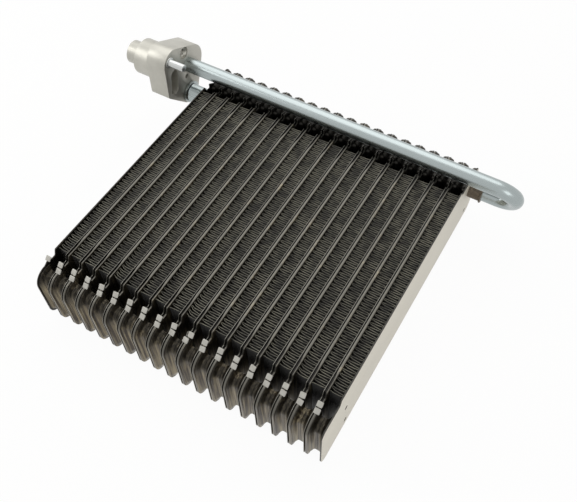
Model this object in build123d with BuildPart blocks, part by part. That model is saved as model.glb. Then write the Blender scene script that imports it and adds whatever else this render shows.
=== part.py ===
from build123d import *

import os

# Plate-fin evaporator core with its pipes and connection block.
# The core lies on its back face. X runs across the tubes, Y along them and Z
# up through the depth. The origin is the centre of the finned block's back face.

os.makedirs("parts", exist_ok=True)

# Core block
tube_count = 18
tube_pitch = 12.5
fin_length = 190
core_depth = 55

# Tube: two stamped plates brazed rim to rim
tube_thick = 3.2
rim_width = 0.9
crease_width = 0.7
crease_depth = 1.8
near_overhang = 27.7
far_overhang = 39
shoulder_drop = 5
shoulder_run = 2
front_radius = 12.5
back_radius = 8

# Drawn cups that stack into the two tanks
cup_margin = 1.2
cup_seat_inset = 3
cup_land = 0.4
near_cup_start = 8
far_cup_start = 9
cup_radius = 10

# Crimp tabs on a ramp of the rims
tab_width = 4.6
tab_length = 4.4
tab_thick = 0.8
tab_gap = 0.6
ramp_start = 8.4
ramp_drop = 0.8
ramp_run = 6.8

# Corrugated fins
fold_count = 25
fin_sheet = 0.5
fin_width = 54

# Side plates
side_thick = 1.2
side_hole_dia = 3
near_hole_from_fins = 6
near_hole_z = 28
far_hole_from_end = 14
far_hole_z = 9
port_land = 2

# Long pipe, its return bend and the collar at the far tank
pipe_dia = 12.7
pipe_wall = 1.2
pipe_from_fins = 13.2
pipe_lift = 7.2
port_from_fins = 26.8
bend_centres = 30
bend_run = 21.65
collar_dia = 14.8
collar_length = 9.5
collar_ring_dia = 17
collar_ring_length = 1.6

# Connection block at the left, placed beyond the fins and above the core's front
block_gap = 23.65
block_thick = 18.5
socket_depth = 9
top_lobe = (-5, 22, 24)
port_lobe = (18, 6, 31)
short_lobe = (11, -19, 26)
corner_lobe = (-14, -6, 8)
blind_hole_from_fins = 10.2
blind_hole_lift = 21.5
blind_hole_dia = 7.5
blind_hole_depth = 6
pin_hole_from_fins = 9
pin_hole_lift = -3
pin_hole_dia = 4
pin_hole_depth = 5
pocket_from_fins = -7.5
pocket_lift = 2.5
pocket_turn = 80
pocket_length = 24
pocket_width = 9
pocket_depth = 10
large_port_from_fins = 3
large_port_lift = 8
large_boss_dia = 31
large_boss_length = 20
large_spigot_dia = 20
large_spigot_length = 12
large_port_bore = 14
small_spigot_dia = 14
small_spigot_length = 13
small_port_bore = 8.5

# Stud in the block
stud_from_fins = -9.6
stud_lift = 26
stud_dia = 6
stud_length = 14
stud_ring_dia = 9
stud_ring_length = 1.2
stud_root_dia = 5
stud_root_depth = 6

# Short pipe from the block to the near side of the far tank
short_from_fins = 10.5
short_drop = 21.7
short_dia = 15
short_wall = 1.3
bead_dia = 19.5
bead_length = 2.6

fin_near = -fin_length / 2
fin_far = fin_length / 2
near_end = fin_near - near_overhang
far_end = fin_far + far_overhang
shoulder_z = core_depth - shoulder_drop
ramp_top = core_depth - ramp_drop
fin_height = tube_pitch - tube_thick
cup_rise = fin_height / 2
tanks = {
    "near": (fin_near - near_cup_start, near_end),
    "far": (fin_far + far_cup_start, far_end),
}
tube_x = [(i - (tube_count - 1) / 2) * tube_pitch for i in range(tube_count)]
fin_x = [(i - tube_count / 2) * tube_pitch for i in range(tube_count + 1)]
core_half = tube_x[-1] + tube_pitch - tube_thick / 2
side_face = core_half + side_thick
crease_x = rim_width + crease_width / 2 - tube_thick / 2
pipe_y = fin_far + pipe_from_fins
pipe_z = core_depth + pipe_lift
port_y = fin_far + port_from_fins
port_z = pipe_z - (bend_centres**2 - (port_y - pipe_y) ** 2) ** 0.5
short_y = fin_far + short_from_fins
short_z = core_depth - short_drop
bend_start_x = side_face + bend_run
block_face_x = -(side_face + block_gap)
socket_floor_x = block_face_x - socket_depth
large_port_y = fin_far + large_port_from_fins
large_port_z = core_depth + large_port_lift
pipe_bore = pipe_dia - 2 * pipe_wall
short_bore = short_dia - 2 * short_wall
nodes = {}


def plate_outline(ramps=True):
    """Outline of a plate in the YZ plane: Y to the right and Z up."""
    near_ramp = [
        (fin_near - ramp_start, shoulder_z),
        (fin_near - ramp_start, ramp_top),
        (fin_near - ramp_start - ramp_run, shoulder_z),
    ]
    far_ramp = [
        (fin_far + ramp_start + ramp_run, shoulder_z),
        (fin_far + ramp_start, ramp_top),
        (fin_far + ramp_start, shoulder_z),
    ]
    with BuildSketch() as outline:
        with BuildLine():
            Polyline(
                (fin_near - shoulder_run, core_depth),
                (fin_near - 2 * shoulder_run, shoulder_z),
                *(near_ramp if ramps else []),
                (near_end, shoulder_z),
                (near_end, 0),
                (far_end, 0),
                (far_end, shoulder_z),
                *(far_ramp if ramps else []),
                (fin_far + 2 * shoulder_run, shoulder_z),
                (fin_far + shoulder_run, core_depth),
                close=True,
            )
        make_face()
        fillet(outline.vertices().group_by(Axis.Y)[0], back_radius)
        for end in (0, -1):
            fillet(outline.vertices().group_by(Axis.X)[end].sort_by(Axis.Y)[-1], front_radius)
    return outline.sketch


def cup_outline(tank, inset):
    """Outline of a cup, rounded at the core's end, drawn in by inset."""
    start, end = tanks[tank]
    margin = 2 * (cup_margin + inset)
    with BuildSketch() as outline:
        with Locations(((start + end) / 2, shoulder_z / 2)):
            Rectangle(abs(end - start) - margin, shoulder_z - margin)
        outer = outline.vertices().group_by(Axis.X)[0 if tank == "near" else -1]
        fillet(outer, cup_radius - inset)
    return outline.sketch


def ring(y, z, outer_dia, inner_dia):
    """A round pipe's section at (y, z) in the YZ plane."""
    with BuildSketch() as section:
        with Locations((y, z)):
            Circle(outer_dia / 2)
            Circle(inner_dia / 2, mode=Mode.SUBTRACT)
    return section.sketch


# Tubes
with BuildPart() as tube:
    with BuildSketch(Plane.YZ):
        for tank in tanks:
            add(cup_outline(tank, 0))
    extrude(amount=tube_pitch / 2, both=True)
    for side in (0, -1):
        for end in (0, -1):
            seat = tube.faces().group_by(Axis.X)[side].sort_by(Axis.Y)[end]
            chamfer(seat.edges(), cup_seat_inset, cup_rise, reference=seat)
    with BuildSketch(Plane.YZ):
        add(plate_outline())
    extrude(amount=tube_thick / 2, both=True)
    with Locations((crease_x, 0, core_depth)):
        Box(crease_width, fin_length, 2 * crease_depth, mode=Mode.SUBTRACT)
    ramp_height = ramp_top - shoulder_z
    ramp_length = (ramp_run**2 + ramp_height**2) ** 0.5
    for y, turn in ((fin_near - ramp_start, 1), (fin_far + ramp_start, -1)):
        slope = Plane(
            origin=(0, y, ramp_top),
            x_dir=(1, 0, 0),
            z_dir=(0, -turn * ramp_height / ramp_length, ramp_run / ramp_length),
        )
        with BuildSketch(slope):
            with Locations([(0, -turn * (tab_length / 2 + i * (tab_length + tab_gap))) for i in range(2)]):
                Rectangle(tab_width, tab_length)
        extrude(amount=tab_thick)

for i, x in enumerate(tube_x, start=1):
    nodes[f"tube_{i:02d}"] = Pos(x, 0, 0) * tube.part

# Fins, with their outer fold tips on the tube faces
fold_step = (fin_length - fin_sheet) / fold_count
half_height = fin_height / 2
ratio = (fin_sheet / fold_step) ** 2
fold_reach = (
    half_height
    - (half_height**2 - (1 - ratio) * (half_height**2 - fin_sheet**2 / 4)) ** 0.5
) / (1 - ratio)
with BuildPart() as fin:
    with BuildSketch():
        with BuildLine():
            Polyline(
                [
                    ((-1) ** i * fold_reach, fin_near + fin_sheet / 2 + i * fold_step)
                    for i in range(fold_count + 1)
                ]
            )
        trace(line_width=fin_sheet)
    extrude(amount=fin_width)

for i, x in enumerate(fin_x, start=1):
    nodes[f"fin_{i:02d}"] = Pos(x, 0, 0) * fin.part

# Side plates and the tank spacers behind them
for name, side in (("left", -1), ("right", 1)):
    if side < 0:
        hole_y, hole_z, hole_dia, boss_dia = short_y, short_z, short_bore, short_dia + 2 * port_land
    else:
        hole_y, hole_z, hole_dia, boss_dia = port_y, port_z, pipe_bore, pipe_dia + 2 * port_land
    with BuildPart() as side_plate:
        with BuildSketch(Plane.YZ.offset(side * core_half)):
            add(plate_outline(ramps=False))
            with Locations((hole_y, hole_z)):
                Circle(hole_dia / 2, mode=Mode.SUBTRACT)
            near_hole = (fin_near + near_hole_from_fins, near_hole_z)
            far_hole = (far_end - far_hole_from_end, far_hole_z)
            with Locations(near_hole, far_hole):
                Circle(side_hole_dia / 2, mode=Mode.SUBTRACT)
        extrude(amount=side * side_thick)
    nodes[f"side_plate_{name}"] = side_plate.part

    for tank in tanks:
        with BuildPart() as spacer:
            with BuildSketch(Plane.YZ.offset(side * core_half)):
                add(cup_outline(tank, 0))
            extrude(amount=-side * cup_rise)
            seat = spacer.faces().sort_by(Axis.X)[0 if side > 0 else -1]
            chamfer(seat.edges(), cup_seat_inset, cup_rise - cup_land, reference=seat)
            if tank == "far":
                with BuildSketch(Plane.YZ.offset(side * core_half)):
                    with Locations((hole_y, hole_z)):
                        Circle(boss_dia / 2)
                extrude(amount=-side * cup_rise)
                with BuildSketch(Plane.YZ.offset(side * core_half)):
                    with Locations((hole_y, hole_z)):
                        Circle(hole_dia / 2)
                extrude(amount=-side * cup_rise, mode=Mode.SUBTRACT)
        nodes[f"spacer_{tank}_{name}"] = spacer.part

# Long pipe
bend_axis = Axis(
    (bend_start_x, (pipe_y + port_y) / 2, (pipe_z + port_z) / 2),
    (0, pipe_z - port_z, port_y - pipe_y),
)
with BuildPart() as long_pipe:
    with BuildSketch(Plane.YZ.offset(bend_start_x)):
        add(ring(pipe_y, pipe_z, pipe_dia, pipe_bore))
    extrude(amount=socket_floor_x - bend_start_x)
    with BuildSketch(Plane.YZ.offset(bend_start_x)):
        add(ring(pipe_y, pipe_z, pipe_dia, pipe_bore))
    revolve(axis=bend_axis, revolution_arc=180)
    with BuildSketch(Plane.YZ.offset(bend_start_x)):
        add(ring(port_y, port_z, pipe_dia, pipe_bore))
    extrude(amount=side_face - bend_start_x)
nodes["long_pipe"] = long_pipe.part

with BuildPart() as collar:
    with BuildSketch(Plane.YZ.offset(side_face)):
        add(ring(port_y, port_z, collar_dia, pipe_dia))
    extrude(amount=collar_length)
    with BuildSketch(Plane.YZ.offset(side_face + collar_length)):
        add(ring(port_y, port_z, collar_ring_dia, pipe_dia))
    extrude(amount=collar_ring_length)
nodes["port_collar"] = collar.part

# Short pipe with its bead
with BuildPart() as short_pipe:
    with BuildSketch(Plane.YZ.offset(-side_face)):
        add(ring(short_y, short_z, short_dia, short_bore))
    extrude(amount=socket_floor_x + side_face)
    with BuildSketch(Plane.YZ.offset(block_face_x)):
        add(ring(short_y, short_z, bead_dia, short_bore))
    extrude(amount=bead_length)
nodes["short_pipe"] = short_pipe.part

# Connection block: rounded lobes round its ports, with their spigots on the far side
with BuildPart() as block:
    with BuildSketch(Plane.YZ.offset(block_face_x)):
        for beyond, lift, diameter in (top_lobe, port_lobe, short_lobe, corner_lobe):
            with Locations((fin_far + beyond, core_depth + lift)):
                Circle(diameter / 2)
        make_hull()
    extrude(amount=-block_thick)
    block_back = block_face_x - block_thick
    with BuildSketch(Plane.YZ.offset(block_back)):
        with Locations((large_port_y, large_port_z)):
            Circle(large_boss_dia / 2)
    extrude(amount=-large_boss_length)
    with BuildSketch(Plane.YZ.offset(block_back - large_boss_length)):
        with Locations((large_port_y, large_port_z)):
            Circle(large_spigot_dia / 2)
    extrude(amount=-large_spigot_length)
    with BuildSketch(Plane.YZ.offset(block_back)):
        with Locations((short_y, short_z)):
            Circle(small_spigot_dia / 2)
    extrude(amount=-small_spigot_length)
    with BuildSketch(Plane.YZ.offset(block_face_x)):
        with Locations((pipe_y, pipe_z)):
            Circle(pipe_dia / 2)
        with Locations((short_y, short_z)):
            Circle(short_dia / 2)
    extrude(amount=-socket_depth, mode=Mode.SUBTRACT)
    with BuildSketch(Plane.YZ.offset(socket_floor_x)):
        with Locations((large_port_y, large_port_z)):
            Circle(large_port_bore / 2)
        with Locations((short_y, short_z)):
            Circle(small_port_bore / 2)
    extrude(until=Until.LAST, dir=(-1, 0, 0), mode=Mode.SUBTRACT)
    for beyond, lift, diameter, depth in (
        (blind_hole_from_fins, blind_hole_lift, blind_hole_dia, blind_hole_depth),
        (pin_hole_from_fins, pin_hole_lift, pin_hole_dia, pin_hole_depth),
        (stud_from_fins, stud_lift, stud_root_dia, stud_root_depth),
    ):
        with BuildSketch(Plane.YZ.offset(block_face_x)):
            with Locations((fin_far + beyond, core_depth + lift)):
                Circle(diameter / 2)
        extrude(amount=-depth, mode=Mode.SUBTRACT)
    with BuildSketch(Plane.YZ.offset(block_face_x)):
        with Locations((fin_far + pocket_from_fins, core_depth + pocket_lift)):
            SlotOverall(pocket_length, pocket_width, rotation=pocket_turn)
    extrude(amount=-pocket_depth, mode=Mode.SUBTRACT)
nodes["connection_block"] = block.part

# Stud: a thin end in the block, a ring on its face and the shank
with BuildPart() as stud:
    for start, length, diameter in (
        (block_face_x - stud_root_depth, stud_root_depth, stud_root_dia),
        (block_face_x, stud_ring_length, stud_ring_dia),
        (block_face_x + stud_ring_length, stud_length, stud_dia),
    ):
        with BuildSketch(Plane.YZ.offset(start)):
            with Locations((fin_far + stud_from_fins, core_depth + stud_lift)):
                Circle(diameter / 2)
        extrude(amount=length)
nodes["stud"] = stud.part

for name, shape in nodes.items():
    shape.label = name
    export_step(shape, f"parts/{name}.step")
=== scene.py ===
"""Finishes and fine detail of a plate-fin evaporator core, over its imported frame."""

import math

import bmesh
import bpy
from bpy.props import FloatProperty, FloatVectorProperty, IntProperty, PointerProperty, StringProperty
from mathutils import Matrix, Vector


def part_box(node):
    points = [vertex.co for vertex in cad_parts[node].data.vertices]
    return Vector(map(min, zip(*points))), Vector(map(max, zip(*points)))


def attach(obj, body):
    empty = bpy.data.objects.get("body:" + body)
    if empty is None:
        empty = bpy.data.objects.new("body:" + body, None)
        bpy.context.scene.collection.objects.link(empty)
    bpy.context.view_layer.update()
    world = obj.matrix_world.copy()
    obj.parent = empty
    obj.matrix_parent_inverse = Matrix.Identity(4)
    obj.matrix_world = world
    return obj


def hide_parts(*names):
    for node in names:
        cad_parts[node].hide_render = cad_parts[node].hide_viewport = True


bl_info = {
    "name": "Evaporator Core",
    "version": (1, 0, 0),
    "blender": (4, 5, 0),
    "location": "View3D > Sidebar > Evaporator",
    "description": "Builds the stamped tubes, folded fins, tanks, pipes and finishes of an evaporator core",
    "category": "Object",
}

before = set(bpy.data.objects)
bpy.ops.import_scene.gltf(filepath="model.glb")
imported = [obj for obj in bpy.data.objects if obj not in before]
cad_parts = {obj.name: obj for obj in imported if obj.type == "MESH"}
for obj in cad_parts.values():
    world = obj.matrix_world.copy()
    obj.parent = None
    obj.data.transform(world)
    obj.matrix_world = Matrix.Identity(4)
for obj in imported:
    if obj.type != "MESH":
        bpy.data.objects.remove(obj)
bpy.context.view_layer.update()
MM = 0.001
BODY = "root"
TUBES = sorted(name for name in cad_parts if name.startswith("tube_"))
FINS = sorted(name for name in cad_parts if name.startswith("fin_"))
SPACERS = sorted(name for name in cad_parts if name.startswith("spacer_"))


def box(name):
    """The lowest and the highest corner of a node's box, in metres."""
    low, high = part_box(name)
    return Vector(low), Vector(high)


def middle(name):
    """The middle of a node's box, in metres."""
    low, high = box(name)
    return (low + high) / 2


def extent(name):
    """The sides of a node's box, in metres."""
    low, high = box(name)
    return high - low


FIN_LOW, FIN_HIGH = box(FINS[0])
TUBE_LOW, TUBE_HIGH = box(TUBES[0])
TUBE_PITCH = (middle(TUBES[-1]).x - middle(TUBES[0]).x) / (len(TUBES) - 1)
TUBE_THICK = TUBE_PITCH - extent(FINS[0]).x
TUBE_HALF = TUBE_THICK / 2
# The rims stand 1 mm in front of the fins
FRONT = FIN_HIGH.z + MM
SIDE_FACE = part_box("side_plate_right")[1][0]
PLATE_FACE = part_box("side_plate_left")[1][0]
BLOCK_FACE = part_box("connection_block")[1][0]

# From the fins' ends to the top and the foot of the ramp that carries the tabs
RAMP_TOP = 8.4 * MM
RAMP_FOOT = 15.2 * MM
# Radii of the stamped plates' front near corner, their back corners and the near cups' front corner
PLATE_CORNER = 12.4 * MM
BACK_CORNER = 8 * MM
CUP_CORNER = 11 * MM
# Holes of both side plates, and the third one of the right plate, as (y, z)
PLATE_HOLES = [(FIN_LOW.y + 6 * MM, 28 * MM), (TUBE_HIGH.y - 14 * MM, 9 * MM)]
THIRD_HOLE = (FIN_LOW.y + 6.5 * MM, 7 * MM)
# The tube whose near tabs were bent apart
ODD_TUBE = 9
# Half the floor's side, and its drop under the object
FLOOR_HALF = 3.0
FLOOR_DROP = 0.5 * MM
# Name, place, side and power of each lamp
LAMPS = (
    ("overhead_softbox", (-0.35, 0.55, 0.95), 1.2, 5.5),
    ("left_softbox", (-0.9, -0.3, 0.7), 0.6, 3.5),
    ("right_softbox", (0.9, -0.5, 0.6), 0.6, 1.5),
)


# Mesh and node helpers


def colour(code):
    """Linear RGBA from an sRGB hex code."""
    channels = [int(code[i : i + 2], 16) / 255 for i in (0, 2, 4)]
    linear = [c / 12.92 if c <= 0.04045 else ((c + 0.055) / 1.055) ** 2.4 for c in channels]
    return (*linear, 1.0)


def add_node(tree, kind, inputs=None, output=0, **settings):
    """Add a node with its settings, link or set its inputs, and give one output, or all with None."""
    made = tree.nodes.new(kind)
    for name, value in settings.items():
        setattr(made, name, value)
    for name, value in (inputs or {}).items():
        if isinstance(value, bpy.types.NodeSocket):
            tree.links.new(value, made.inputs[name])
        else:
            made.inputs[name].default_value = value
    return made.outputs[output] if made.outputs and output is not None else made.outputs


def new_object(name, points, faces):
    """A mesh object at the origin, linked to the scene."""
    mesh = bpy.data.meshes.new(name)
    mesh.from_pydata([tuple(p) for p in points], [], faces)
    mesh.validate()
    made = bpy.data.objects.new(name, mesh)
    bpy.context.scene.collection.objects.link(made)
    return made


def smooth(piece, degrees):
    """Smooth shading, with edges sharper than the angle kept crisp."""
    mesh = piece.data
    mesh.polygons.foreach_set("use_smooth", [True] * len(mesh.polygons))
    mesh.set_sharp_from_angle(angle=math.radians(degrees))


def finish_piece(piece, slot, nodes, material=None):
    """Give a piece its finish and its body, and hide the nodes it stands for."""
    piece.data.materials.clear()
    piece.data.materials.append(material or finish(slot))
    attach(piece, BODY)
    if nodes:
        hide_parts(*nodes)


def applied(piece):
    """Turn a piece with modifiers into a plain mesh."""
    graph = bpy.context.evaluated_depsgraph_get()
    graph.update()
    mesh = bpy.data.meshes.new_from_object(piece.evaluated_get(graph))
    piece.modifiers.clear()
    piece.data = mesh


def with_tree(piece, tree, values):
    """Run a geometry tree on a piece with named values and apply it."""
    modifier = piece.modifiers.new(tree.name, "NODES")
    modifier.node_group = tree
    for item in tree.interface.items_tree:
        if item.item_type == "SOCKET" and item.in_out == "INPUT" and item.name in values:
            modifier[item.identifier] = values[item.name]
    applied(piece)


def outward(piece):
    """Turn each closed shell's faces outwards."""
    work = bmesh.new()
    work.from_mesh(piece.data)
    bmesh.ops.recalc_face_normals(work, faces=work.faces)
    work.to_mesh(piece.data)
    work.free()


def joined(name, shells, degrees=40):
    """One smooth object from several closed (points, faces) shells, with its faces outwards."""
    points, faces = [], []
    for shell_points, shell_faces in shells:
        start = len(points)
        points += shell_points
        faces += [[start + i for i in face] for face in shell_faces]
    piece = new_object(name, points, faces)
    outward(piece)
    smooth(piece, degrees)
    return piece


def loft(rings, loop=False):
    """Points and faces of a skin over closed rings of equal count, with capped ends or as a loop."""
    count, total = len(rings[0]), len(rings)
    points = [p for ring in rings for p in ring]
    faces = []
    for row in range(total if loop else total - 1):
        low, high = row * count, (row + 1) % total * count
        for i in range(count):
            j = (i + 1) % count
            faces.append([low + i, low + j, high + j, high + i])
    if not loop:
        faces.append(list(range(count))[::-1])
        faces.append([(total - 1) * count + i for i in range(count)])
    return points, faces


def rounded(corners, inset):
    """A closed outline with rounded corners, drawn in by inset. A corner is (y, z, radius, steps)."""
    total = len(corners)
    places = [Vector((c[0], c[1])) for c in corners]
    area = sum(places[i - 1].x * places[i].y - places[i].x * places[i - 1].y for i in range(total))
    turn = 1 if area > 0 else -1
    outline = []
    for i, (_, _, radius, steps) in enumerate(corners):
        before = (places[i] - places[i - 1]).normalized()
        after = (places[(i + 1) % total] - places[i]).normalized()
        in_before = Vector((-before.y, before.x)) * turn
        in_after = Vector((-after.y, after.x)) * turn
        cross = before.x * after.y - before.y * after.x
        bisector = in_before + in_after
        place = places[i] + bisector * (inset / (0.5 * bisector.length_squared))
        convex = cross * turn > 0
        size = max(radius - inset, 0.05 * MM) if convex else radius + inset
        half_turn = 0.5 * before.angle(after)
        begin = place - before * (size * math.tan(half_turn))
        centre = begin + in_before * size * (1 if convex else -1)
        first = begin - centre
        swing = 2 * half_turn * (1 if cross > 0 else -1)
        for step in range(steps + 1):
            angle = swing * step / max(steps, 1)
            cosine, sine = math.cos(angle), math.sin(angle)
            spoke = Vector((first.x * cosine - first.y * sine, first.x * sine + first.y * cosine))
            outline.append(centre + spoke)
    return outline


def swept(name, path, radius, wall, segments=56):
    """A tube of one radius and wall along a path."""
    outer, inner = [], []
    side = (path[1] - path[0]).orthogonal()
    for i, place in enumerate(path):
        ahead = (path[min(i + 1, len(path) - 1)] - path[max(i - 1, 0)]).normalized()
        side = (side - ahead * side.dot(ahead)).normalized()
        other = ahead.cross(side)
        angles = [2 * math.pi * k / segments for k in range(segments)]
        spokes = [math.cos(a) * side + math.sin(a) * other for a in angles]
        outer.append([place + radius * spoke for spoke in spokes])
        inner.append([place + (radius - wall) * spoke for spoke in spokes])
    return joined(name, [loft(outer + inner[::-1], loop=True)], 50)


def turned(y, z, profile, segments=56, loop=True):
    """A shell turned round an axis along X, from (x, radius) pairs: a ring, or a plug without loop."""
    angles = [2 * math.pi * k / segments for k in range(segments)]
    rings = [
        [Vector((x, y + radius * math.cos(a), z + radius * math.sin(a))) for a in angles]
        for x, radius in profile
    ]
    return loft(rings, loop)


def drilled(piece, shells):
    """Cut closed shells out of a piece."""
    cutter = joined("cutter", shells)
    holes = piece.modifiers.new("holes", "BOOLEAN")
    holes.operation = "DIFFERENCE"
    holes.object = cutter
    applied(piece)
    bpy.data.objects.remove(cutter, do_unlink=True)
    smooth(piece, 30)


def softened(name, node, bevel, steps):
    """A copy of a node's solid with its edges rounded."""
    made = bpy.data.objects.new(name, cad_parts[node].data.copy())
    bpy.context.scene.collection.objects.link(made)
    weld = made.modifiers.new("weld", "WELD")
    weld.merge_threshold = 0.002 * MM
    flat = made.modifiers.new("flat", "DECIMATE")
    flat.decimate_type = "DISSOLVE"
    flat.angle_limit = math.radians(1)
    rounding = made.modifiers.new("bevel", "BEVEL")
    rounding.width = bevel
    rounding.segments = steps
    rounding.limit_method = "ANGLE"
    rounding.angle_limit = math.radians(40)
    applied(made)
    smooth(made, 30)
    return made


# Geometry trees


def new_tree(name, sockets):
    """A geometry tree for a row, with named inputs of its own, and the sockets of all its inputs."""
    shared = {
        "Geometry": "Geometry",
        "Count": "Int",
        "Spacing": "Float",
        "First": "Vector",
        "Seed": "Int",
        "Material": "Material",
    }
    tree = bpy.data.node_groups.new(name, "GeometryNodeTree")
    tree.is_modifier = True
    tree.interface.new_socket("Geometry", in_out="OUTPUT", socket_type="NodeSocketGeometry")
    for label, kind in {**shared, **sockets}.items():
        tree.interface.new_socket(label, in_out="INPUT", socket_type="NodeSocket" + kind)
    return tree, add_node(tree, "NodeGroupInput", output=None)


def row_tree():
    """Repeat a mesh along X, each copy with a slight turn of its own."""
    tree, given = new_tree("row_along_x", {"Turn": "Float", "Odd one": "Int", "Odd shift": "Vector"})
    step = add_node(tree, "ShaderNodeCombineXYZ", {"X": given["Spacing"]})
    row = {"Count": given["Count"], "Start Location": given["First"], "Offset": step}
    line = add_node(tree, "GeometryNodeMeshLine", row)
    same = {2: add_node(tree, "GeometryNodeInputIndex"), 3: given["Odd one"]}
    odd = add_node(tree, "FunctionNodeCompare", same, data_type="INT", operation="EQUAL")
    moved = {"Geometry": line, "Selection": odd, "Offset": given["Odd shift"]}
    line = add_node(tree, "GeometryNodeSetPosition", moved)
    most = add_node(tree, "ShaderNodeCombineXYZ", {"Z": given["Turn"]})
    least = add_node(tree, "ShaderNodeVectorMath", {0: most, 3: -1.0}, operation="SCALE")
    limits = {"Min": least, "Max": most, "Seed": given["Seed"]}
    turn = add_node(tree, "FunctionNodeRandomValue", limits, data_type="FLOAT_VECTOR")
    copies = {"Points": line, "Instance": given["Geometry"], "Rotation": turn}
    placed = add_node(tree, "GeometryNodeInstanceOnPoints", copies)
    real = add_node(tree, "GeometryNodeRealizeInstances", {"Geometry": placed})
    coat = {"Geometry": real, "Material": given["Material"]}
    add_node(tree, "NodeGroupOutput", {0: add_node(tree, "GeometryNodeSetMaterial", coat)})
    return tree


def fold_tree():
    """A row of corrugated foil strips: legs that cross from tube to tube, joined by round folds."""
    tree, known = new_tree(
        "folded_fins",
        {
            "Legs": "Int",
            "Leg spacing": "Float",
            "Half width": "Float",
            "Squareness": "Float",
            "End bend": "Float",
            "Depth": "Float",
            "Sheet": "Float",
            "Unevenness": "Float",
            "Bow": "Float",
        },
    )
    known = dict(known.items())
    points_per_leg = 9.0
    # A name stands for an input or an earlier result. Each row is a name, an operation and its terms.
    sums = (
        ("total", "MULTIPLY", "Legs", points_per_leg),
        ("whole index", "ADD", "index", 0.5),
        ("row share", "DIVIDE", "whole index", "total"),
        ("row", "FLOOR", "row share"),
        ("before row", "MULTIPLY", "row", "total"),
        ("in row", "SUBTRACT", "index", "before row"),
        ("along", "DIVIDE", "in row", points_per_leg),
        # The strip swings from side to side as a flattened sine
        ("from fold", "SUBTRACT", "along", 0.5),
        ("phase", "MULTIPLY", "from fold", math.pi),
        ("wave", "SINE", "phase"),
        ("swing", "MULTIPLY", "wave", "Squareness"),
        ("crest", "TANH", "swing"),
        ("top", "TANH", "Squareness"),
        ("share", "DIVIDE", "crest", "top"),
        ("across", "MULTIPLY", "share", "Half width"),
        # Each strip reads the unevenness from a row of its own
        ("noise row", "MULTIPLY", "row", 7.0),
        ("noise", "NOISE", "along", "noise row"),
        ("off middle", "SUBTRACT", "noise", 0.5),
        ("uneven", "MULTIPLY", "off middle", "Unevenness"),
        ("square", "MULTIPLY", "share", "share"),
        ("inward", "SUBTRACT", "square", 1.0),
        ("bowed", "MULTIPLY", "inward", "Bow"),
        # A few strips are bent over at their near left folds, where hands have brushed them
        ("near", "POWER", 0.92, "along"),
        ("leftward", "MULTIPLY", "share", -1.0),
        ("left half", "MAXIMUM", "leftward", 0.0),
        ("left", "POWER", "left half", 2.0),
        ("spread", "RANDOM", "row", "Seed"),
        ("few", "POWER", "spread", 3.0),
        ("where", "MULTIPLY", "near", "left"),
        ("how far", "MULTIPLY", "few", "End bend"),
        ("bend", "MULTIPLY", "where", "how far"),
        ("stride", "MULTIPLY", "along", "Leg spacing"),
        ("stray", "ADD", "uneven", "bowed"),
        ("plain", "ADD", "stride", "stray"),
        ("y", "ADD", "plain", "bend"),
        ("bay", "MULTIPLY", "row", "Spacing"),
        ("x", "ADD", "bay", "across"),
    )
    known["index"] = add_node(tree, "GeometryNodeInputIndex")
    for name, operation, *terms in sums:
        first, second = ([known.get(term, term) for term in terms] + [0.0])[:2]
        if operation == "NOISE":
            place = add_node(tree, "ShaderNodeCombineXYZ", {"X": first, "Y": second})
            texture = {"Vector": place, "Scale": 0.9, "Detail": 3.0, "Roughness": 0.7}
            known[name] = add_node(tree, "ShaderNodeTexNoise", texture, "Fac")
        elif operation == "RANDOM":
            number = add_node(tree, "FunctionNodeFloatToInt", {0: first})
            draw = {"ID": number, "Seed": second}
            known[name] = add_node(tree, "FunctionNodeRandomValue", draw, 1, data_type="FLOAT")
        else:
            known[name] = add_node(tree, "ShaderNodeMath", {0: first, 1: second}, operation=operation)
    line = add_node(tree, "GeometryNodeMeshLine", {"Count": known["total"]})
    step = add_node(tree, "ShaderNodeCombineXYZ", {"X": known["Spacing"]})
    row = {"Count": known["Count"], "Start Location": known["First"], "Offset": step}
    rows = {"Points": add_node(tree, "GeometryNodeMeshLine", row), "Instance": line}
    placed = add_node(tree, "GeometryNodeInstanceOnPoints", rows)
    real = add_node(tree, "GeometryNodeRealizeInstances", {"Geometry": placed})
    shift = add_node(tree, "ShaderNodeCombineXYZ", {"X": known["x"], "Y": known["y"]})
    target = add_node(tree, "ShaderNodeVectorMath", {0: shift, 1: known["First"]}, operation="ADD")
    moved = add_node(tree, "GeometryNodeSetPosition", {"Geometry": real, "Position": target})
    curve = add_node(tree, "GeometryNodeMeshToCurve", {"Mesh": moved})
    curve = add_node(tree, "GeometryNodeSetCurveNormal", {"Curve": curve}, mode="Z_UP")
    sides = {"Width": known["Sheet"], "Height": known["Depth"]}
    section = add_node(tree, "GeometryNodeCurvePrimitiveQuadrilateral", sides)
    sheet = {"Curve": curve, "Profile Curve": section, "Fill Caps": True}
    foil = add_node(tree, "GeometryNodeCurveToMesh", sheet)
    coat = {"Geometry": foil, "Material": known["Material"]}
    add_node(tree, "NodeGroupOutput", {0: add_node(tree, "GeometryNodeSetMaterial", coat)})
    return tree


# Materials. A maker takes a tree and the finish's noise patterns. It gives the first colour, the layers
# over it as (mask, colour), the relief as (height, strength, depth in mm) and the shader's other inputs.


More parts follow.
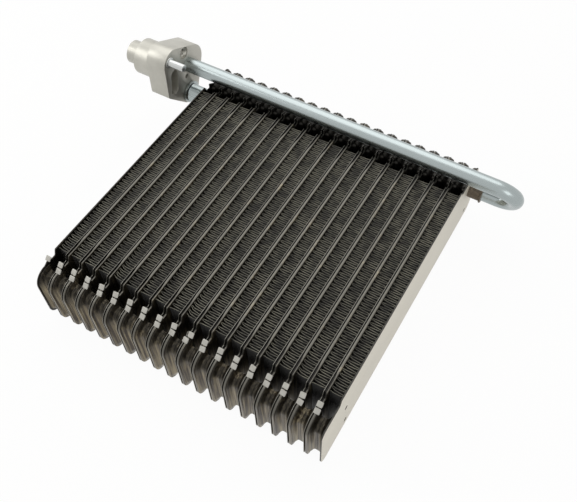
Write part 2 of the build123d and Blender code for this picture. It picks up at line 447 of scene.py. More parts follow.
def brazed_aluminium(tree, streak, blotch):
    """Stamped aluminium plate darkened by the brazing oven: brown-grey and streaked, with painted
    highlights on the rims and painted shade in the creases, on the upper cups and under the long pipe,
    where there is soot too.
    """
    place = add_node(tree, "ShaderNodeTexCoord", output="Object")
    parts = add_node(tree, "ShaderNodeSeparateXYZ", {"Vector": place}, None)
    # The rims' painted highlight carries a ripple of 1.8 mm, left by the folds behind them
    waves = {"Vector": place, "Scale": 0.173 / MM, "Distortion": 1.5}
    ripple = add_node(tree, "ShaderNodeTexWave", waves, "Fac")
    # Painted highlight above 0 and painted shade below 0, from the points' painted levels
    painted_light_shade = add_node(tree, "ShaderNodeAttribute", output="Fac", attribute_name="painted_light_shade")
    x, y, z = parts["X"], parts["Y"], parts["Z"]
    masks = {}
    for name, value, low, high, start, end in (
        ("marks", streak, 0.4, 0.62, 0.0, 1.0),
        # The flat left side plate was never drawn, so its marks are faint
        ("drawn", x, PLATE_FACE - 0.1 * MM, PLATE_FACE + 0.1 * MM, 0.3, 1.0),
        # Painted shade darkens the upper part of the cups, in flux blotches
        ("high", z, 31 * MM, 44 * MM, 0.0, 1.0),
        ("patch", blotch, 0.25, 0.5, 0.0, 1.0),
        # The gap under the long pipe is darkened: painted shadow of the pipe, with soot
        ("past fins", y, FIN_HIGH.y + 0.5 * MM, FIN_HIGH.y + 3 * MM, 0.0, 1.0),
        ("under pipe", y, FIN_HIGH.y + 28 * MM, FIN_HIGH.y + 24 * MM, 0.0, 1.0),
        ("raised", z, 20 * MM, 30 * MM, 0.0, 1.0),
        # Painted highlight on the rims, and painted shade in the creases, at the cup roots and along the
        # left plate's edges
        ("rubbed", painted_light_shade, 0.0, 1.0, 0.0, 1.0),
        ("crease_shade_mask", painted_light_shade, 0.0, -1.0, 0.0, 1.0),
        ("rippled", ripple, 0.0, 1.0, 0.85, 1.0),
    ):
        limits = {"Value": value, "From Min": low, "From Max": high, "To Min": start, "To Max": end}
        masks[name] = add_node(tree, "ShaderNodeMapRange", limits)
    for name, first, second in (
        ("light", "marks", "drawn"),
        ("soot", "high", "patch"),
        ("gap", "past fins", "under pipe"),
        ("gap", "gap", "raised"),
        # The rims' painted highlight, broken by the ripple
        ("bare", "rubbed", "rippled"),
    ):
        both = {0: masks[first], 1: masks[second]}
        masks[name] = add_node(tree, "ShaderNodeMath", both, operation="MULTIPLY")
    limits = {"Value": masks["soot"], "From Max": 0.8, "To Max": 0.85}
    soot = add_node(tree, "ShaderNodeMapRange", limits)
    masks["sooty"] = add_node(tree, "ShaderNodeMath", {0: soot, 1: masks["gap"]}, operation="MAXIMUM")
    # Layers: flux streaks, painted shade with soot, the rims' painted highlight and the creases' painted
    # shade
    layers = [
        (masks["light"], "plate_light"),
        (masks["sooty"], "plate_dark"),
        (masks["bare"], "rim_colour"),
        (masks["crease_shade_mask"], "crease_colour"),
    ]
    return "plate_brown", layers, (streak, 0.3, 0.3), {"Metallic": 0.75, "Roughness": 0.35}


def tab_aluminium(tree, cloud):
    """Crimp tabs rubbed bare when they were bent over: pale satin metal."""
    return "tab_dark", [(cloud, "tab_light")], None, {"Metallic": 0.3, "Roughness": 0.5}


def fin_foil(tree, patch):
    """Thin rolled aluminium foil dulled by flux: pale cut edges, and painted shade between the legs."""
    place = add_node(tree, "ShaderNodeTexCoord", output="Object")
    height = add_node(tree, "ShaderNodeSeparateXYZ", {"Vector": place}, "Z")
    clean = add_node(tree, "ShaderNodeMapRange", {"Value": patch, "From Min": 0.35, "From Max": 0.65})
    # The cut edges and 0.7 mm below them keep the foil's colour, and the painted shade between the legs is
    # full 1.3 mm down
    half = (FIN_HIGH.z - FIN_LOW.z) / 2
    off_middle = add_node(tree, "ShaderNodeMath", {0: height, 1: half}, operation="SUBTRACT")
    depth = add_node(tree, "ShaderNodeMath", {0: off_middle}, operation="ABSOLUTE")
    limits = {"Value": depth, "From Min": half - 0.7 * MM, "From Max": half - 1.3 * MM}
    leg_shade = add_node(tree, "ShaderNodeMapRange", limits)
    # Louvres at a pitch of 1.3 mm through the depth
    turns = {0: height, 1: 2 * math.pi / (1.3 * MM)}
    phase = add_node(tree, "ShaderNodeMath", turns, operation="MULTIPLY")
    slats = add_node(tree, "ShaderNodeMath", {0: phase}, operation="SINE")
    layers = [(clean, "foil_edge"), (leg_shade, "foil_dark")]
    return "foil_edge_dark", layers, (slats, 0.5, 0.2), {"Metallic": 0.2, "Roughness": 0.5}


def mill_sheet(tree, rolled, cloud):
    """Rolled aluminium sheet with a pale mill finish: soft sheen, faint rolling lines."""
    tone = add_node(tree, "ShaderNodeMath", {0: rolled, 1: cloud}, operation="MULTIPLY")
    # The sheared edges are dull and dirty up to the outer face
    place = add_node(tree, "ShaderNodeTexCoord", output="Object")
    across = add_node(tree, "ShaderNodeSeparateXYZ", {"Vector": place}, "X")
    limits = {"Value": across, "From Min": SIDE_FACE - 0.05 * MM, "From Max": SIDE_FACE - 0.15 * MM}
    edge = add_node(tree, "ShaderNodeMapRange", limits)
    layers = [(tone, "sheet_dark"), (edge, "sheet_edge")]
    return "sheet_light", layers, (rolled, 0.15, 0.1), {"Metallic": 0.35, "Roughness": 0.5}


def drawn_tube(tree, drawn):
    """Drawn aluminium tube: bright, with fine die lines along its length."""
    rough = add_node(tree, "ShaderNodeMapRange", {"Value": drawn, "To Min": 0.2, "To Max": 0.36})
    return "tube_colour", [], (drawn, 0.12, 0.1), {"Metallic": 1.0, "Roughness": rough}


def burnt_braze(tree, mottle):
    """Brazed joint burnt brown by the torch: matt, mottled."""
    layers = [(mottle, "braze_light")]
    return "braze_dark", layers, (mottle, 0.4, 0.3), {"Metallic": 0.4, "Roughness": 0.55}


def cast_block(tree, sand, cloud):
    """Machined aluminium casting: satin grey with a fine sandy grain."""
    layers = [(cloud, "block_light")]
    return "block_dark", layers, (sand, 0.25, 0.1), {"Metallic": 0.7, "Roughness": 0.42}


def zinc_steel(tree, cloud):
    """Zinc-plated steel: bluish grey, slightly cloudy gloss."""
    rough = add_node(tree, "ShaderNodeMapRange", {"Value": cloud, "To Min": 0.25, "To Max": 0.42})
    return "steel_colour", [], None, {"Metallic": 1.0, "Roughness": rough}


# Each slot's common name, maker and noise patterns, as marks per mm along x, y and z, and their detail
FINISHES = {
    "tube_sheet": (
        "oven-brazed aluminium plate",
        brazed_aluminium,
        # Draw marks 1 to 2 mm wide that run 40 mm down the plates, and blotches of flux 12 mm across
        {"streak": (0.9, 0.5, 0.025, 3.0), "blotch": (0.08, 0.08, 0.08, 4.0)},
    ),
    # Clouds 3 mm across
    "tab": ("rubbed aluminium tab", tab_aluminium, {"cloud": (0.3, 0.3, 0.3, 3.0)}),
    # Flux dulls the cut edges in patches 7 mm across
    "fin_sheet": ("flux-dulled aluminium foil", fin_foil, {"patch": (0.14, 0.14, 0.14, 5.0)}),
    "side_sheet": (
        "mill-finish aluminium sheet",
        mill_sheet,
        # Rolling lines 0.8 mm apart and 80 mm long, coarser than real ones so that they show,
        # and clouds 40 mm across
        {"rolled": (0.2, 0.012, 1.2, 2.0), "cloud": (0.025, 0.025, 0.025, 3.0)},
    ),
    # Die lines 0.7 mm apart and 40 mm long, coarser than real ones so that they show
    "pipe": ("drawn aluminium tube", drawn_tube, {"drawn": (0.025, 1.5, 1.5, 3.0)}),
    # Mottled every 2 mm
    "collar": ("torch-brazed joint", burnt_braze, {"mottle": (0.5, 0.5, 0.5, 5.0)}),
    "block": (
        "machined aluminium casting",
        cast_block,
        # Sand grain of 0.6 mm, coarser than the real one so that it shows, and clouds 17 mm across
        {"sand": (1.8, 1.8, 1.8, 3.0), "cloud": (0.06, 0.06, 0.06, 3.0)},
    ),
    # Clouds 1.4 mm across
    "steel": ("zinc-plated steel", zinc_steel, {"cloud": (0.7, 0.7, 0.7, 2.0)}),
}


def new_material(title):
    """A material with an empty node tree."""
    material = bpy.data.materials.new(title)
    material.use_nodes = True
    material.node_tree.nodes.clear()
    return material, material.node_tree


def finish(slot):
    """The finish of a slot, made once."""
    title, maker, patterns = FINISHES[slot]
    material = bpy.data.materials.get(title)
    if material is None:
        material, tree = new_material(title)
        codes = bpy.context.scene.evaporator_finish
        place = add_node(tree, "ShaderNodeTexCoord", output="Object")
        noises = {}
        for name, (*marks, detail) in patterns.items():
            per_metre = [mark / MM for mark in marks]
            scaled = add_node(tree, "ShaderNodeMapping", {"Vector": place, "Scale": per_metre})
            look = {"Vector": scaled, "Scale": 1.0, "Detail": detail}
            noises[name] = add_node(tree, "ShaderNodeTexNoise", look, "Fac")
        first, layers, relief, inputs = maker(tree, **noises)
        base = colour(getattr(codes, first))
        for mask, name in layers:
            over = {0: mask, 6: base, 7: colour(getattr(codes, name))}
            base = add_node(tree, "ShaderNodeMix", over, 2, data_type="RGBA")
        inputs["Base Color"] = base
        if relief:
            height, strength, depth = relief
            bump = {"Height": height, "Strength": strength, "Distance": depth * MM}
            inputs["Normal"] = add_node(tree, "ShaderNodeBump", bump)
        shader = add_node(tree, "ShaderNodeBsdfPrincipled", inputs)
        add_node(tree, "ShaderNodeOutputMaterial", {"Surface": shader})
    return material


def sees_white(tree):
    """1 for rays from the camera and for mirrored or refracted ones."""
    rays = add_node(tree, "ShaderNodeLightPath", output=None)
    either = rays["Is Camera Ray"]
    for kind in ("Is Glossy Ray", "Is Transmission Ray"):
        either = add_node(tree, "ShaderNodeMath", {0: either, 1: rays[kind]}, operation="MAXIMUM")
    return either


def white_floor():
    """Matt white card that glows for what sees it, so that only a faint shadow is left."""
    material, tree = new_material("matt white card")
    card = add_node(tree, "ShaderNodeBsdfPrincipled", {"Base Color": colour("f4f3ef"), "Roughness": 0.9})
    glow = add_node(tree, "ShaderNodeEmission", {"Color": colour("ffffff"), "Strength": 1.0})
    share = add_node(tree, "ShaderNodeMath", {0: sees_white(tree), 1: 0.95}, operation="MULTIPLY")
    both = add_node(tree, "ShaderNodeMixShader", {0: share, 1: card, 2: glow})
    add_node(tree, "ShaderNodeOutputMaterial", {"Surface": both})
    return material


# Settings


def length(name, description, millimetres):
    """A length setting."""
    return FloatProperty(name=name, description=description, default=millimetres * MM, unit="LENGTH")


def shade(name, description, code):
    """A colour setting, as an sRGB hex code."""
    return StringProperty(name=name, description=description, default=code, maxlen=6)


class CoreSizes(bpy.types.PropertyGroup):
    """Sizes of the stamped plates, the folded foil and the tabs."""

    crease_width: length("Crease width", "Gap between the two rims", 0.75)
    crease_depth: length("Crease depth", "Depth of the gap between the rims", 1.6)
    crease_shift: length("Crease shift", "How far left of the middle the gap lies", 0.65)
    crease_opening: length("Crease opening", "How much the gap widens near the tanks", 0.8)
    cup_inset: length("Cup inset", "How far a near cup's seat lies inside its root", 4.0)
    far_corner: length("Far corner", "Radius of the plates' front corner at the far end", 5.5)
    side_corner: length("Side plate corner", "Radius of the right side plate's near corner", 6)
    hole_radius: length("Hole radius", "Radius of the holes in the side plates", 1.9)
    leg_spacing: length("Leg spacing", "Distance between neighbouring legs of the foil", 1.815)
    foil_thickness: length("Foil thickness", "Thickness drawn for the foil, so that it shows", 0.3)
    foil_recess: length("Foil recess", "How far the foil lies behind the rims", 0.6)
    end_bend: length("End bend", "How far the most bent fold leans over", 2.4)
    unevenness: length("Unevenness", "How far the folds stray from their pitch", 0.45)
    bow: length("Bow", "How far a leg bows between its folds", 0.1)
    squareness: FloatProperty(name="Squareness", description="How flat the folds are", default=3.0, min=0.1)
    tab_length: length("Tab length", "Length of a crimp tab down the ramp", 4.1)
    tab_width: length("Tab width", "Width of a crimp tab", 4.3)
    tab_start: length("Tab start", "From the fins' end to the upper tab", 10.9)
    tab_drop: length("Tab drop", "From the core's front down to the upper tab", 0.1)
    tab_spacing: length("Tab spacing", "Between the two tabs of an end", 5.0)
    tab_shift: length("Tab shift", "How far right of the tube's middle the tabs lie", 1.0)
    odd_shift: length("Odd tab shift", "How far apart the odd tube's tabs lie", 1.2)
    tab_turn: FloatProperty(
        name="Tab turn", description="Most that a tab is skewed", default=math.radians(7), subtype="ANGLE"
    )
    ramp_angle: FloatProperty(
        name="Ramp angle", description="Slope of the ramp", default=math.radians(43), subtype="ANGLE"
    )
    seed: IntProperty(name="Seed", description="Seed of the unevenness", default=7, min=0)


class PipeSizes(bpy.types.PropertyGroup):
    """Sizes of the pipes, the collar and the block's tapped hole."""

    pipe_radius: length("Long pipe", "Radius of the long pipe", 6.35)
    pipe_wall: length("Wall", "Wall of both pipes", 1.2)
    sleeve_radius: length("Collar sleeve", "Radius of the collar's sleeve", 7.4)
    sleeve_length: length("Sleeve length", "Length of the collar's sleeve", 9.5)
    short_radius: length("Short pipe", "Radius of the short pipe", 7.5)
    bead_length: length("Bead length", "Length of the short pipe's bead", 2.6)
    tapped_from_fins: length("Tapped hole", "Tapped hole beyond the fins", 10.2)
    tapped_lift: length("Tapped hole lift", "Tapped hole above the core's front", 21.5)
    tapped_radius: length("Tapped hole radius", "Radius of the tapped hole", 3.75)
    sink_radius: length("Counterbore radius", "Radius of the hole's counterbore", 5.3)
    thread_pitch: length("Thread pitch", "Pitch of the thread", 1.25)
    thread_depth: length("Thread depth", "Height of the thread's crests", 0.8)
    block_edge: length("Block edge", "Softening of the block's edges", 0.8)
    stud_edge: length("Stud edge", "Softening of the stud's edges", 0.4)


class FinishColours(bpy.types.PropertyGroup):
    """Colours of the finishes, as sRGB hex codes."""

    # Painted shade of the upper cups, and painted shadow with soot under the long pipe
    plate_dark: shade("Plate dark", "Sooty plate", "211f1b")
    plate_brown: shade("Plate brown", "Brown plate", "41382d")
    plate_light: shade("Plate light", "Cleaner plate", "8a7f67")
    # Painted highlight of the rims
    rim_colour: shade("Rims", "Highlit rims", "7d7b74")
    # Painted shade of the creases, the cup roots and the left plate's edges
    crease_colour: shade("Creases", "Shadowing in the creases", "1c1a17")
    tab_dark: shade("Tab dark", "Duller tab", "a9a69d")
    tab_light: shade("Tab light", "Brighter tab", "c9c7c0")
    # Painted shade between the foil's legs
    foil_dark: shade("Foil dark", "Darkness between the legs", "100f0d")
    foil_edge_dark: shade("Foil edge dark", "Duller cut edges", "504e46")
    foil_edge: shade("Foil edge", "Cut edges", "8d8a7a")
    sheet_light: shade("Side plate light", "Pale sheet", "dcd7ca")
    sheet_dark: shade("Side plate dark", "Shaded sheet", "c6c0b2")
    sheet_edge: shade("Side plate edge", "Sheared edges", "3b3a35")
    tube_colour: shade("Pipe", "Drawn tube", "a1a9a9")
    braze_dark: shade("Braze dark", "Burnt joint", "4b433a")
    braze_light: shade("Braze light", "Burnt joint", "837768")
    block_dark: shade("Block dark", "Casting", "a3a198")
    block_light: shade("Block light", "Casting", "c9c7be")
    steel_colour: shade("Steel", "Zinc plating", "c2c4c2")


class StageSettings(bpy.types.PropertyGroup):
    """Camera and light levels."""

    lens: FloatProperty(
        name="Lens",
        description="Focal length on a 36 mm wide sensor",
        default=45.68,
        min=1,
        subtype="DISTANCE_CAMERA",
    )
    camera_place: FloatVectorProperty(
        name="Camera",
        description="Where the camera stands",
        default=(0.19026, -0.26983, 0.48791),
        subtype="TRANSLATION",
    )
    camera_right: FloatVectorProperty(
        name="Right",
        description="Direction to the picture's right",
        default=(0.86209, 0.50640, -0.01901),
        subtype="DIRECTION",
    )
    camera_down: FloatVectorProperty(
        name="Down",
        description="Direction to the picture's bottom",
        default=(0.40647, -0.71339, -0.57084),
        subtype="DIRECTION",
    )
    world_level: FloatProperty(
        name="World", description="Strength of the surrounding light", default=0.45, min=0
    )


# Core pieces


def plate_corners(near_radius, far_radius, ramps=True):
    """Corners of a plate's outline as (y, z, radius, steps), in metres."""
    shoulder = FRONT - 5 * MM
    ramp = TUBE_HIGH.z - 0.8 * MM
    # The notch beside the fins, the ramp and points where the rims change their widths, from the middle out
    stations = [(FIN_HIGH.y - step * MM, FRONT, 0, 0) for step in (17, 14, 11, 8)]
    half = [
        *stations,
        (FIN_HIGH.y + 2 * MM, FRONT, 1.2 * MM, 4),
        (FIN_HIGH.y + 4 * MM, shoulder, 1.2 * MM, 4),
    ]
    if ramps:
        half += [
            (FIN_HIGH.y + RAMP_TOP, shoulder, 0.3 * MM, 2),
            (FIN_HIGH.y + RAMP_TOP, ramp, 0.5 * MM, 3),
            (FIN_HIGH.y + RAMP_FOOT, shoulder, 1.5 * MM, 4),
        ]
    near = [(-y, z, radius, steps) for y, z, radius, steps in half]
    return [
        *near[len(stations) :],
        (TUBE_LOW.y, shoulder, near_radius, 16),
        (TUBE_LOW.y, 0, BACK_CORNER, 12),
        (TUBE_HIGH.y, 0, BACK_CORNER, 12),
        (TUBE_HIGH.y, shoulder, far_radius, 16),
        *half[::-1],
        *near[: len(stations)],
    ]


def cup_corners(tank, far_corner):
    """Corners of a cup's root outline as (y, z, radius, steps), in metres."""
    if tank == "near":
        margin, corner = 1.2 * MM, CUP_CORNER
        inner, outer = FIN_LOW.y - 8 * MM - margin, TUBE_LOW.y + margin
    else:
        margin, corner = 0.4 * MM, far_corner - 0.4 * MM
        inner, outer = FIN_HIGH.y + 9 * MM + margin, TUBE_HIGH.y - margin
    top = FIN_HIGH.z - 4 * MM - margin
    return [
        (inner, top, 4.3 * MM, 5),
        (outer, top, corner, 14),
        (outer, margin, BACK_CORNER, 12),
        (inner, margin, 4.3 * MM, 5),
    ]


def stamped(corners, rows):
    """A skin over an outline drawn in at each (x, inset, painted level) row, and the painted level of its
    points: above 0 painted highlight, below 0 painted shade.
    """
    rings, painted_levels = [], []
    for x, inset, painted_level in rows:
        outline = rounded(corners, inset)
        rings.append([Vector((x, p.x, p.y)) for p in outline])
        painted_levels += [painted_level] * len(outline)
    return loft(rings), painted_levels


def cup_shell(tank, base, side, sizes):
    """A drawn cup that rises from the sheet at base towards side, and the painted level of its points, with
    painted shade at its root and its top edge.
    """
    rise = (TUBE_PITCH - TUBE_THICK) / 2
    # Height, the insets of a near and a far cup in quarters of the cup inset, and the painted level, below
    # 0 for painted shade
    profile = [
        (-0.3 * MM, 0.0, 0.0, -0.4),
        (0.0, 0.0, 0.0, -0.6),
        (0.3 * MM, 0.25, 0.05, -0.4),
        (0.7 * MM, 0.9, 0.15, -0.1),
        (1.9 * MM, 3.1, 0.5, 0.0),
        (2.5 * MM, 3.75, 0.9, 0.0),
        (3.2 * MM, 4.0, 1.9, 0.0),
        (rise - 0.15 * MM, 4.0, 3.3, -0.3),
        (rise, 4.15, 3.5, -1.0),
    ]
    rows = [
        (base + side * height, (near if tank == "near" else far) * sizes.cup_inset / 4, painted_level)
        for height, near, far, painted_level in profile
    ]
    return stamped(cup_corners(tank, sizes.far_corner), rows)


def painted_level_piece(name, shells, painted_levels):
    """One piece from shells, with the painted level of each point: 1 painted highlight, 0 plain, -1 painted
    shade.
    """
    piece = joined(name, shells)
    values = piece.data.attributes.new("painted_light_shade", "FLOAT", "POINT")
    values.data.foreach_set("value", painted_levels)
    return piece


def end_share(y):
    """0 over the fins, 1 at their ends, where the right rim narrows, and little over the cups."""
    beyond = abs(y) - FIN_HIGH.y
    share = min(max((beyond + 17 * MM) / (9 * MM), 0.0), 1.0) if beyond < 9 * MM else 0.25
    return share * share * (3 - 2 * share)


class EVAPORATOR_OT_tubes(bpy.types.Operator):
    """Stamped plate pairs with their rims and drawn cups, one for each tube"""

    bl_idname = "evaporator.tubes"
    bl_label = "Tubes"

    def execute(self, context):
        """Loft one plate pair and repeat it."""
        sizes = context.scene.evaporator_core
        left = -sizes.crease_shift - sizes.crease_width / 2
        right = -sizes.crease_shift + sizes.crease_width / 2
        deep = sizes.crease_depth / MM
        # Across the rims: x, inset in mm, painted level (above 0 painted highlight, falling off across the
        # right band, below 0 painted shade in the crease) and share of the crease's opening
        rims = [
            (-TUBE_HALF, 0.3, 0.3, 0),
            (-TUBE_HALF + 0.12 * MM, 0.08, 0.9, 0),
            (-TUBE_HALF + 0.25 * MM, 0.0, 1.0, 0),
            (left - 0.1 * MM, 0.0, 1.0, 0),
            (left, 0.2, 0.3, 0),
            (left + 0.08 * MM, deep, -1.0, 0),
            (right - 0.08 * MM, deep, -1.0, 1),
            (right, 0.2, 0.3, 1),
            (right + 0.2 * MM, 0.0, 0.75, 1),
            (TUBE_HALF - 0.9 * MM, 0.0, 0.55, 0),
            (TUBE_HALF - 0.4 * MM, 0.0, 0.35, 0),
            (TUBE_HALF - 0.12 * MM, 0.08, 0.25, 0),
            (TUBE_HALF, 0.3, 0.0, 0),
        ]
        corners = plate_corners(PLATE_CORNER, sizes.far_corner)
        cups_start = FIN_HIGH.y + 12 * MM
        rings, painted_levels = [], []
        for x, inset, painted_level, opens in rims:
            outline = rounded(corners, inset * MM)
            opening = sizes.crease_opening * opens
            rings.append([Vector((x + opening * end_share(p.x), p.x, p.y)) for p in outline])
            # Over the cups the crease is pressed nearly shut, and its painted shade is halved
            painted_levels += [painted_level / 2 if painted_level < 0 and abs(p.x) > cups_start else painted_level for p in outline]
        shells = [loft(rings)]
        for tank in ("near", "far"):
            for side in (-1, 1):
                shell, cup_painted_levels = cup_shell(tank, side * TUBE_HALF, side, sizes)
                shells.append(shell)
                painted_levels += cup_painted_levels
        piece = painted_level_piece("tube_plates", shells, painted_levels)
        values = {
            "Count": len(TUBES),
            "Spacing": TUBE_PITCH,
            "First": (middle(TUBES[0]).x, 0, 0),
            "Turn": 0.0,
            "Odd one": -1,
            "Seed": sizes.seed,
            "Material": finish("tube_sheet"),
        }
        with_tree(piece, row_tree(), values)
        finish_piece(piece, "tube_sheet", TUBES)
        return {"FINISHED"}


class EVAPORATOR_OT_fins(bpy.types.Operator):
    """Corrugated foil between the tubes"""

    bl_idname = "evaporator.fins"
    bl_label = "Fins"

    def execute(self, context):
        """Fold the foil strips and place them in the bays."""
        sizes = context.scene.evaporator_core
        fold_run = FIN_HIGH.y - FIN_LOW.y
        legs = round(fold_run / sizes.leg_spacing)
        start = (middle(FINS[0]).x, FIN_LOW.y + sizes.foil_thickness / 2, (FIN_HIGH.z + FIN_LOW.z) / 2)
        values = {
            "Legs": legs,
            "Leg spacing": (fold_run - sizes.foil_thickness) / legs,
            "Half width": extent(FINS[0]).x / 2 - sizes.foil_thickness / 2,
            "Squareness": sizes.squareness,
            "End bend": sizes.end_bend,
            "Depth": FIN_HIGH.z - FIN_LOW.z - 2 * sizes.foil_recess,
            "Sheet": sizes.foil_thickness,
            "Unevenness": sizes.unevenness,
            "Bow": sizes.bow,
            "Count": len(FINS),
            "Spacing": TUBE_PITCH,
            "First": start,
            "Seed": sizes.seed,
            "Material": finish("fin_sheet"),
        }
        piece = new_object("folded_fins", [Vector((0, 0, 0))], [])
        with_tree(piece, fold_tree(), values)
        finish_piece(piece, "fin_sheet", FINS)
        return {"FINISHED"}


def crimp_tab(name, sizes, turn):
    """One tab round the origin, lying down the ramp of the near (-1) or far (1) end."""
    slope = sizes.ramp_angle
    along = Vector((0, turn * math.cos(slope), -math.sin(slope)))
    across = Vector((1, 0, 0))
    up = Vector((0, turn * math.sin(slope), math.cos(slope)))
    corners = [
        (sx * sizes.tab_width / 2, sy * sizes.tab_length / 2, 0.6 * MM, 4)
        for sx, sy in ((-1, -1), (1, -1), (1, 1), (-1, 1))
    ]
    rings = []
    for height, inset in ((-0.9, 0.15), (-0.3, 0.0), (-0.1, 0.08), (0.0, 0.3), (0.03, 0.9)):
        outline = rounded(corners, inset * MM)
        rings.append([across * p.x + along * p.y + up * height * MM for p in outline])
    return joined(name, [loft(rings)])


class EVAPORATOR_OT_tabs(bpy.types.Operator):
    """Crimp tabs on the ramps of the rims"""

    bl_idname = "evaporator.tabs"
    bl_label = "Crimp tabs"

    def execute(self, context):
        """Repeat each tab along the row of tubes, and add the one of the left side plate."""
        sizes = context.scene.evaporator_core
        slope = sizes.ramp_angle
        for end, fins_end, turn in (("near", FIN_LOW.y, -1), ("far", FIN_HIGH.y, 1)):
            # The far tabs take the plate's finish, so the painted shadow and soot under the long pipe
            # darken them
            coat = finish("tab" if end == "near" else "tube_sheet")
            for i, level in enumerate(("upper", "lower")):
                run = sizes.tab_start + i * sizes.tab_spacing * math.cos(slope)
                drop = sizes.tab_drop + i * sizes.tab_spacing * math.sin(slope)
                x = middle(TUBES[0]).x + sizes.tab_shift
                place = Vector((x, fins_end + turn * run, TUBE_HIGH.z - drop))
                values = {
                    "Count": len(TUBES),
                    "Spacing": TUBE_PITCH,
                    "First": place,
                    "Turn": sizes.tab_turn,
                    "Odd one": ODD_TUBE if end == "near" else -1,
                    "Odd shift": Vector((sizes.odd_shift * (1 - 2 * i), 0, 0)),
                    "Seed": sizes.seed + i,
                    "Material": coat,
                }
                row = crimp_tab(f"{end}_{level}_tabs", sizes, turn)
                with_tree(row, row_tree(), values)
                finish_piece(row, "tube_sheet", [], coat)
                if level == "upper" and end == "near":
                    single = crimp_tab("side_plate_tab", sizes, turn)
                    x = middle("side_plate_left").x + MM
                    single.data.transform(Matrix.Translation((x, place.y, place.z)))
                    finish_piece(single, "tube_sheet", [], finish("tab"))
        return {"FINISHED"}


class EVAPORATOR_OT_side_plates(bpy.types.Operator):
    """Side plates with their holes, and the cups between them and the outer tubes"""

    bl_idname = "evaporator.side_plates"
    bl_label = "Side plates"

    def execute(self, context):
        """Stamp both plates, drill them and set the end cups on their inner faces."""
        sizes = context.scene.evaporator_core
        # Over the sheet's edge: distance from its face and inset in mm, and painted level, below 0 for
        # painted shade along the edges
        edge = ((0.0, 0.25, -0.8), (0.1, 0.08, -0.5), (0.25, 0.0, -0.3))
        for side, slot in (("left", "tube_sheet"), ("right", "side_sheet")):
            node = "side_plate_" + side
            low, high = box(node)
            plain = side == "right"
            near_radius = sizes.side_corner if plain else PLATE_CORNER
            corners = plate_corners(near_radius, sizes.far_corner, ramps=not plain)
            rows = [(low.x + x * MM, inset * MM, painted_level) for x, inset, painted_level in edge]
            rows += [(high.x - x * MM, inset * MM, painted_level) for x, inset, painted_level in edge[::-1]]
            shell, painted_levels = stamped(corners, rows)
            piece = painted_level_piece(node + "_sheet", [shell], painted_levels)
            ends = [(low.x - MM, sizes.hole_radius), (high.x + MM, sizes.hole_radius)]
            spots = PLATE_HOLES + [THIRD_HOLE] if plain else PLATE_HOLES
            drilled(piece, [turned(y, z, ends, 24, loop=False) for y, z in spots])
            finish_piece(piece, slot, [node])
        shells, painted_levels = [], []
        for name in SPACERS:
            low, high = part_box(name)
            side = -1 if low[0] > 0 else 1
            tank = "near" if high[1] < 0 else "far"
            shell, cup_painted_levels = cup_shell(tank, high[0] if side < 0 else low[0], side, sizes)
            shells.append(shell)
            painted_levels += cup_painted_levels
        piece = painted_level_piece("end_cups", shells, painted_levels)
        finish_piece(piece, "tube_sheet", SPACERS)
        return {"FINISHED"}


class EVAPORATOR_OT_pipes(bpy.types.Operator):
    """Long pipe with its return bend, its collar and the short pipe"""

    bl_idname = "evaporator.pipes"
    bl_label = "Pipes"

    def execute(self, context):
        """Sweep the long pipe, and turn the collar and the short pipe."""
        sizes = context.scene.evaporator_pipes
        radius, wall = sizes.pipe_radius, sizes.pipe_wall
        low, high = box("long_pipe")
        collar, collar_face = middle("port_collar"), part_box("port_collar")[0][0]
        upper = Vector((0, low.y + radius, high.z - radius))
        lower = Vector((0, collar.y, collar.z))
        across = (lower - upper) / 2
        bend = across.length
        start = high.x - radius - bend
        centre = Vector((start, 0, 0)) + (upper + lower) / 2
        path = [Vector((low.x + (start - low.x) * i / 12, upper.y, upper.z)) for i in range(12)]
        for i in range(41):
            angle = math.pi * i / 40
            path.append(centre - across * math.cos(angle) + Vector((bend * math.sin(angle), 0, 0)))
        path.append(Vector((collar_face, lower.y, lower.z)))
        finish_piece(swept("long_pipe_tube", path, radius, wall), "pipe", ["long_pipe"])

        # Sleeve and shoulder of the collar: x from its face, and radius
        ring, run = extent("port_collar").y / 2, extent("port_collar").x
        bore, sleeve, step = radius - 0.2 * MM, sizes.sleeve_radius, sizes.sleeve_length
        profile = [
            (0.0, bore),
            (0.0, sleeve),
            (step - 0.3 * MM, sleeve),
            (step, sleeve + 0.2 * MM),
            (step + 0.2 * MM, ring - 0.2 * MM),
            (step + 0.5 * MM, ring),
            (run - 0.4 * MM, ring),
            (run - 0.1 * MM, ring - 0.3 * MM),
            (run, bore),
        ]
        shell = turned(collar.y, collar.z, [(collar_face + x, r) for x, r in profile])
        finish_piece(joined("port_collar_ring", [shell]), "collar", ["port_collar"])

        # The short pipe and its bead, which seats on the block
        low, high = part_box("short_pipe")
        centre = middle("short_pipe")
        tube, bead = sizes.short_radius, extent("short_pipe").y / 2
        bead_end = BLOCK_FACE + sizes.bead_length
        profile = [
            (low[0], tube - wall),
            (low[0], tube),
            (BLOCK_FACE, tube),
            (BLOCK_FACE, bead - 0.5 * MM),
            (BLOCK_FACE + 0.5 * MM, bead),
            (bead_end - 0.5 * MM, bead),
            (bead_end, bead - 0.5 * MM),
            (bead_end + 0.3 * MM, tube + 0.4 * MM),
            (bead_end + MM, tube),
            (high[0], tube),
            (high[0], tube - wall),
        ]
        shell = turned(centre.y, centre.z, profile)
        finish_piece(joined("short_pipe_tube", [shell]), "pipe", ["short_pipe"])
        return {"FINISHED"}


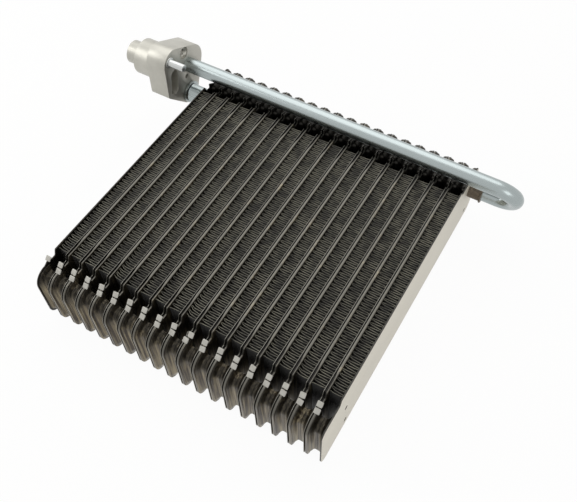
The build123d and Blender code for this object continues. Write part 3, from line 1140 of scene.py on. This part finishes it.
class EVAPORATOR_OT_block(bpy.types.Operator):
    """Connection block with its tapped hole, and its stud"""

    bl_idname = "evaporator.block"
    bl_label = "Connection block"

    def execute(self, context):
        """Soften the casting's edges, counterbore and tap its blind hole, and soften the stud."""
        sizes = context.scene.evaporator_pipes
        y, z = FIN_HIGH.y + sizes.tapped_from_fins, FRONT + sizes.tapped_lift
        root, sink, pitch = sizes.tapped_radius, sizes.sink_radius, sizes.thread_pitch
        seat = BLOCK_FACE - sink + root
        piece = softened("connection_block_casting", "connection_block", sizes.block_edge, 3)
        drilled(piece, [turned(y, z, [(BLOCK_FACE + 0.5 * MM, sink), (seat, sink)], 40, loop=False)])
        finish_piece(piece, "block", ["connection_block"])

        # Three turns of thread below the counterbore, drawn as rings
        valley, crest = root - 0.05 * MM, root - sizes.thread_depth
        profile = []
        for turn in range(3):
            at = seat - turn * pitch
            profile += [(at, valley), (at - pitch / 2, crest)]
        end = seat - 3 * pitch
        profile += [(end, valley), (end, root), (seat, root)]
        finish_piece(joined("tapped_thread", [turned(y, z, profile, 40)], 30), "block", [])
        finish_piece(softened("stud_shank", "stud", sizes.stud_edge, 2), "steel", ["stud"])
        return {"FINISHED"}


class EVAPORATOR_OT_stage(bpy.types.Operator):
    """White floor, soft lights, surrounding light and camera"""

    bl_idname = "evaporator.stage"
    bl_label = "Stage"

    def execute(self, context):
        """Lay the floor, hang the lights and set the camera."""
        scene, stage = context.scene, context.scene.evaporator_stage
        sides = ((-1, -1), (1, -1), (1, 1), (-1, 1))
        edges = [Vector((x * FLOOR_HALF, y * FLOOR_HALF, -FLOOR_DROP)) for x, y in sides]
        floor = new_object("floor", edges, [[0, 1, 2, 3]])
        floor.data.materials.append(white_floor())

        world = bpy.data.worlds.new("studio")
        world.use_nodes = True
        tree = world.node_tree
        tree.nodes.clear()
        white = colour("ffffff")
        around = add_node(tree, "ShaderNodeBackground", {"Color": white, "Strength": stage.world_level})
        backdrop = add_node(tree, "ShaderNodeBackground", {"Color": white, "Strength": 1.0})
        both = add_node(tree, "ShaderNodeMixShader", {0: sees_white(tree), 1: around, 2: backdrop})
        add_node(tree, "ShaderNodeOutputWorld", {"Surface": both})
        scene.world = world

        for name, place, side, power in LAMPS:
            lamp = bpy.data.lights.new(name, "AREA")
            lamp.shape = "SQUARE"
            lamp.size = side
            lamp.energy = power
            made = bpy.data.objects.new(name, lamp)
            made.location = place
            made.rotation_euler = (-Vector(place)).to_track_quat("-Z", "Y").to_euler()
            scene.collection.objects.link(made)

        camera = bpy.data.cameras.new("camera")
        camera.sensor_width = 36
        camera.lens = stage.lens
        camera.clip_start = 0.01
        camera.clip_end = 20
        eye = bpy.data.objects.new("camera", camera)
        right = Vector(stage.camera_right).normalized()
        up = -Vector(stage.camera_down).normalized()
        turn = Matrix((right, up, right.cross(up))).transposed().to_4x4()
        eye.matrix_world = Matrix.Translation(stage.camera_place) @ turn
        scene.collection.objects.link(eye)
        scene.camera = eye
        scene.view_settings.view_transform = "Standard"
        return {"FINISHED"}


class EVAPORATOR_PT_panel(bpy.types.Panel):
    """Sidebar panel with the settings and the pieces"""

    bl_idname = "EVAPORATOR_PT_panel"
    bl_label = "Evaporator Core"
    bl_space_type = "VIEW_3D"
    bl_region_type = "UI"
    bl_category = "Evaporator"

    def draw(self, context):
        """List the settings and a button for each piece."""
        for group in GROUPS:
            held = getattr(context.scene, group)
            panel_box = self.layout.box()
            for name in held.__annotations__:
                panel_box.prop(held, name)
        for step in STEPS:
            self.layout.operator(step.bl_idname)


STEPS = (
    EVAPORATOR_OT_tubes,
    EVAPORATOR_OT_fins,
    EVAPORATOR_OT_tabs,
    EVAPORATOR_OT_side_plates,
    EVAPORATOR_OT_pipes,
    EVAPORATOR_OT_block,
    EVAPORATOR_OT_stage,
)
GROUPS = {
    "evaporator_core": CoreSizes,
    "evaporator_pipes": PipeSizes,
    "evaporator_finish": FinishColours,
    "evaporator_stage": StageSettings,
}
CLASSES = (*GROUPS.values(), *STEPS, EVAPORATOR_PT_panel)


def register():
    """Register the classes and the scene's settings."""
    for cls in CLASSES:
        bpy.utils.register_class(cls)
    for name, group in GROUPS.items():
        setattr(bpy.types.Scene, name, PointerProperty(type=group))


def unregister():
    """Remove the scene's settings and the classes."""
    for name in GROUPS:
        delattr(bpy.types.Scene, name)
    for cls in reversed(CLASSES):
        bpy.utils.unregister_class(cls)


def main():
    """Build every piece and the stage."""
    register()
    for step in STEPS:
        group, name = step.bl_idname.split(".")
        getattr(getattr(bpy.ops, group), name)()


if __name__ == "__main__":
    main()
